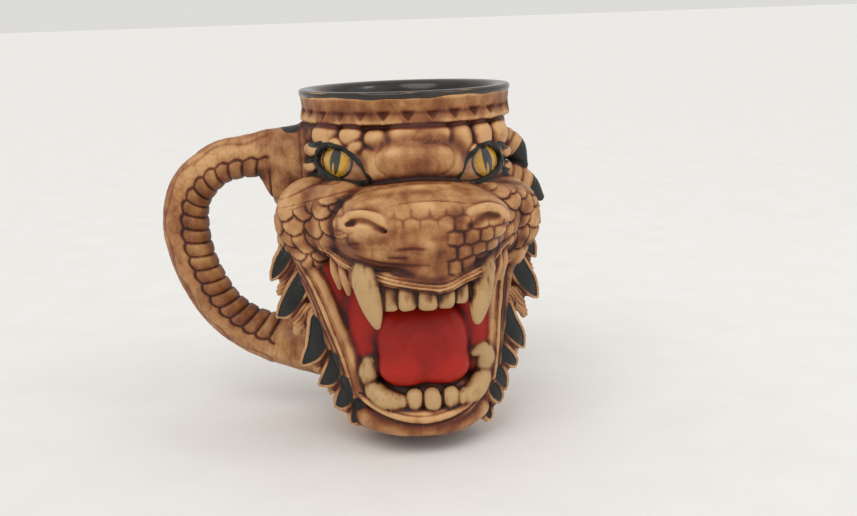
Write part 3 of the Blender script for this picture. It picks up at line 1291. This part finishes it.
def make_piece(name, vertices, faces, material, slot, nodes, attributes=(), normals=None):
    """A mesh object from millimetre vertices that rides on the mug and stands for nodes."""
    mesh = bpy.data.meshes.new(name)
    faces = np.asarray(faces)
    mesh.vertices.add(len(vertices))
    mesh.vertices.foreach_set("co", (np.asarray(vertices) * MM).astype(np.float32).ravel())
    mesh.loops.add(faces.size)
    mesh.loops.foreach_set("vertex_index", faces.astype(np.int32).ravel())
    mesh.polygons.add(len(faces))
    mesh.polygons.foreach_set("loop_start", (np.arange(len(faces)) * faces.shape[1]).astype(np.int32))
    mesh.update(calc_edges=True)
    mesh.polygons.foreach_set("use_smooth", np.ones(len(faces), bool))
    for title, values in dict(attributes).items():
        layer = mesh.attributes.new(title, "FLOAT", "POINT")
        layer.data.foreach_set("value", values.astype(np.float32))
    mesh.validate()
    if normals is not None:
        mesh.normals_split_custom_set_from_vertices(normals.astype(np.float32))
    mesh.materials.append(material)
    piece = bpy.data.objects.new(name, mesh)
    bpy.context.scene.collection.objects.link(piece)
    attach(piece, "root")
    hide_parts(*nodes)


def slot_of(node):
    """The material slot that the record gives a node."""
    return {s["node"]: s["material_slot"] for s in frame["record"]["subparts"]}[node]


def cut_into_pieces(skin, material):
    """One object for each form of the skin, cut off just below the mug's lip."""
    owner = skin.owner[skin.quads]
    face_owner = np.where(owner[:, 1] == owner[:, 2], owner[:, 1], owner[:, 0])
    keep = skin.places[skin.quads].mean(1)[:, 2] <= MUG_HEIGHT - 0.6
    for number, node in enumerate(skin.names):
        faces = skin.quads[keep & (face_owner == number)]
        used, new = np.unique(faces, return_inverse=True)
        values = {k: getattr(skin, k)[used] for k in ("stain", "rust", "black", "red", "cream")}
        make_piece(f"skin_{node}", skin.places[used], new.reshape(faces.shape), material, slot_of(node),
                   [node], values, skin.normals[used])


def ring_faces(rings, steps):
    """The quads between each ring of points and the next, where every ring has that many steps."""
    here = np.arange(steps)
    ahead = (here + 1) % steps
    bands = []
    for k in range(rings):
        a, b = k * steps, (k + 1) * steps
        bands.append(np.column_stack([a + here, b + here, b + ahead, a + ahead]))
    return np.vstack(bands)


def turned_glaze(material):
    """The black lining of the cup and the band over its lip, turned and slightly uneven at its lower edge."""
    wall = 4.0
    inner = WALL_R - (wall + GLAZE)
    outside = LIP_R + 0.15
    top = MUG_HEIGHT
    # radius, height and how thin the glaze runs there
    profile = [(outside - 0.35, top - 2.6, 0.9), (outside, top - 2.1, 0.6), (outside + 0.1, top - 1.0, 0.2),
               (outside - 0.5, top - 0.15, 0.8), (outside - 1.6, top, 0.5), (outside - 3.4, top - 0.05, 0.3),
               (outside - 5.4, top - 0.5, 0.5), (inner + 0.5, top - 2.2, 0.3), (inner, top - 6, 0)]
    profile += [(inner, z, 0) for z in np.linspace(top - 12, 66, 14)]
    narrow = FOOT_R - 4.7
    profile += [(narrow + (inner - narrow) * z / 60, z, 0) for z in (60, 48, 36, 24, 16)]
    profile += [(narrow + 0.6, 10, 0), (narrow - 2, SLAB_TOP + 0.9, 0), (narrow - 10, SLAB_TOP + 0.6, 0),
                (1.0, SLAB_TOP + 0.6, 0)]
    steps = 220
    turn = np.arange(steps) * 2 * math.pi / steps
    wave = 0.3 * np.sin(turn * 5 + 1) + 0.22 * np.sin(turn * 11 + 2) + 0.12 * np.sin(turn * 23)
    waviness = [1.0, 0.7] + [0.0] * (len(profile) - 2)
    rings = [np.column_stack([radius * np.cos(turn), radius * np.sin(turn), height + wave * share])
             for (radius, height, _), share in zip(profile, waviness)]
    thin = np.repeat([float(thinness) for _, _, thinness in profile], steps)
    faces = ring_faces(len(profile) - 1, steps)[:, ::-1]
    make_piece("glaze_lining", np.vstack(rings), faces, material, "black_glaze", ["inner_glaze"],
               {"thin": thin})


def eyeball(side, sign, material):
    """A glazed dome in the lids with a painted iris, a forked slit pupil and flesh in its inner corner."""
    eye = EYES[side]
    middle_u = eye["iris"][0] - 1.2
    middle_v = eye["iris"][1] - 1.2
    half_u, half_v = 17.5, 10.5
    sunk, bulge, iris_radius, ring_radius = 2.9, 6.6, 6.6, 6.7
    rings, steps = 110, 200
    turn = np.arange(steps) * 2 * math.pi / steps
    vertices, paint = [], {"iris": [], "edge": [], "ink": []}
    for i in range(rings + 1):
        share = max(i, 0.02) / rings
        u = middle_u + half_u * share * np.cos(turn)
        v = middle_v + half_v * share * np.sin(turn)
        radius = WALL_R - sunk + bulge * math.sqrt(1 - 0.995 * share**2)
        angle = sign * u / CHART_R
        vertices.append(np.column_stack([radius * np.sin(angle), -radius * np.cos(angle), v]))
        a, b = u - eye["iris"][0], v - eye["iris"][1]
        far = np.hypot(a / 1.22, b)
        lean = a / 1.2 + 0.16 * b
        half = 2.3 * np.sqrt(np.clip(1 - ((b - 0.4) / 6.0) ** 2, 0, 1))
        slit = step_up(half - np.abs(lean), -0.12, 0.12)
        fork = step_up(0.75 - np.abs(lean + sign * 0.5) - 0.10 * (b + 5), -0.1, 0.1)
        fork = fork * step_up(-b, 0.2, 1.4)
        ring = step_up(0.5 - np.abs(far - ring_radius), -0.15, 0.2)
        paint["iris"].append(step_up(iris_radius - far, -0.15, 0.15))
        paint["edge"].append(step_up(far, 3.8, 6.4))
        paint["ink"].append(np.maximum(slit * (1 - fork), ring))
    faces = ring_faces(rings, steps)
    if sign < 0:
        faces = faces[:, ::-1]
    make_piece(f"painted_eyeball_{side}", np.vstack(vertices), faces, material, "eye_paint",
               [f"eyeball_{side}"], {k: np.concatenate(v) for k, v in paint.items()})


# ---------------------------------------------------------------- stage, lights and camera


def stage_floor():
    """A wide pale sheet of paper that the mug stands on."""
    mesh = bpy.data.meshes.new("floor")
    half = 60.0
    corners = [(-half, -half, 0), (half, -half, 0), (half, half, 0), (-half, half, 0)]
    mesh.from_pydata(corners, [], [(0, 1, 2, 3)])
    floor = bpy.data.objects.new("floor", mesh)
    bpy.context.scene.collection.objects.link(floor)
    n = Nodes("pale_paper")
    grain = n.noise(30.0, 4.0)
    n.link(n.mix(n.ranged(grain, 0.3, 0.7), (236, 235, 232), (240, 239, 237)), n.shader.inputs["Base Color"])
    n.shader.inputs["Roughness"].default_value = 0.9
    mesh.materials.append(n.material)


def new_light(name, kind, power, colour=(1.0, 1.0, 1.0)):
    data = bpy.data.lights.new(name, kind)
    data.energy = power
    data.color = colour
    light = bpy.data.objects.new(name, data)
    bpy.context.scene.collection.objects.link(light)
    return light


def sun_light(name, azimuth, elevation, strength, spread, colour):
    """A broad soft light from that direction; azimuth is measured from the front towards +X."""
    light = new_light(name, "SUN", strength, colour)
    light.data.angle = math.radians(spread)
    a, e = math.radians(azimuth), math.radians(elevation)
    source = Vector((math.sin(a) * math.cos(e), -math.cos(a) * math.cos(e), math.sin(e)))
    light.rotation_euler = source.to_track_quat("Z", "Y").to_euler()
    light.location = source


def area_light(name, place, target, size, power):
    """A round softbox at place, turned to face target."""
    light = new_light(name, "AREA", power)
    light.data.shape = "DISK"
    light.data.size = size
    light.location = place
    light.rotation_euler = (Vector(target) - Vector(place)).to_track_quat("-Z", "Y").to_euler()


def studio():
    """Soft light from all round, a warm key from the left, a fill from the right and a small highlight."""
    world = bpy.data.worlds.new("studio")
    bpy.context.scene.world = world
    world.use_nodes = True
    background = world.node_tree.nodes["Background"]
    background.inputs["Color"].default_value = (1.0, 0.99, 0.975, 1.0)
    background.inputs["Strength"].default_value = 0.72
    sun_light("key_light", -30.0, 48.0, 0.9, 40.0, (1.0, 0.97, 0.93))
    sun_light("fill_light", 50.0, 35.0, 0.3, 60.0, (1.0, 1.0, 1.0))
    area_light("highlight_softbox", (0.5, -0.35, 0.75), (0.03, 0.0, 0.145), 0.18, 0.5)
    bpy.context.scene.view_settings.view_transform = "Standard"


def aim_camera():
    """The photograph's viewpoint: half a metre in front, a little above the rim, tipped and rolled."""
    distance = 0.5
    azimuth = math.radians(-6.0)
    above_rim = 0.029
    swing, pitch, roll = math.radians(0.914), math.radians(11.89), math.radians(1.97)
    sensor, focal_in_widths = 36.0, 1.3452
    height = MUG_HEIGHT * MM + above_rim
    place = Vector((math.sin(azimuth) * distance, -math.cos(azimuth) * distance, height))
    heading = azimuth - swing
    level = Vector((-math.sin(heading), math.cos(heading), 0.0))
    right = level.cross(Vector((0, 0, 1)))
    forward = level * math.cos(pitch) - Vector((0, 0, 1)) * math.sin(pitch)
    up = right.cross(forward)
    rolled_right = right * math.cos(roll) - up * math.sin(roll)
    rolled_up = up * math.cos(roll) + right * math.sin(roll)
    data = bpy.data.cameras.new("camera")
    data.sensor_width = sensor
    data.lens = sensor * focal_in_widths
    data.clip_start = 0.01
    camera = bpy.data.objects.new("camera", data)
    bpy.context.scene.collection.objects.link(camera)
    turn = Matrix((rolled_right, rolled_up, -forward)).transposed()
    camera.matrix_world = Matrix.Translation(place) @ turn.to_4x4()
    bpy.context.scene.camera = camera


def main():
    skin = carved_skin()
    cut_into_pieces(skin, painted_clay())
    turned_glaze(black_glaze())
    paint = eye_paint()
    for side, sign in SIDES:
        eyeball(side, sign, paint)
    stage_floor()
    studio()
    aim_camera()


main()
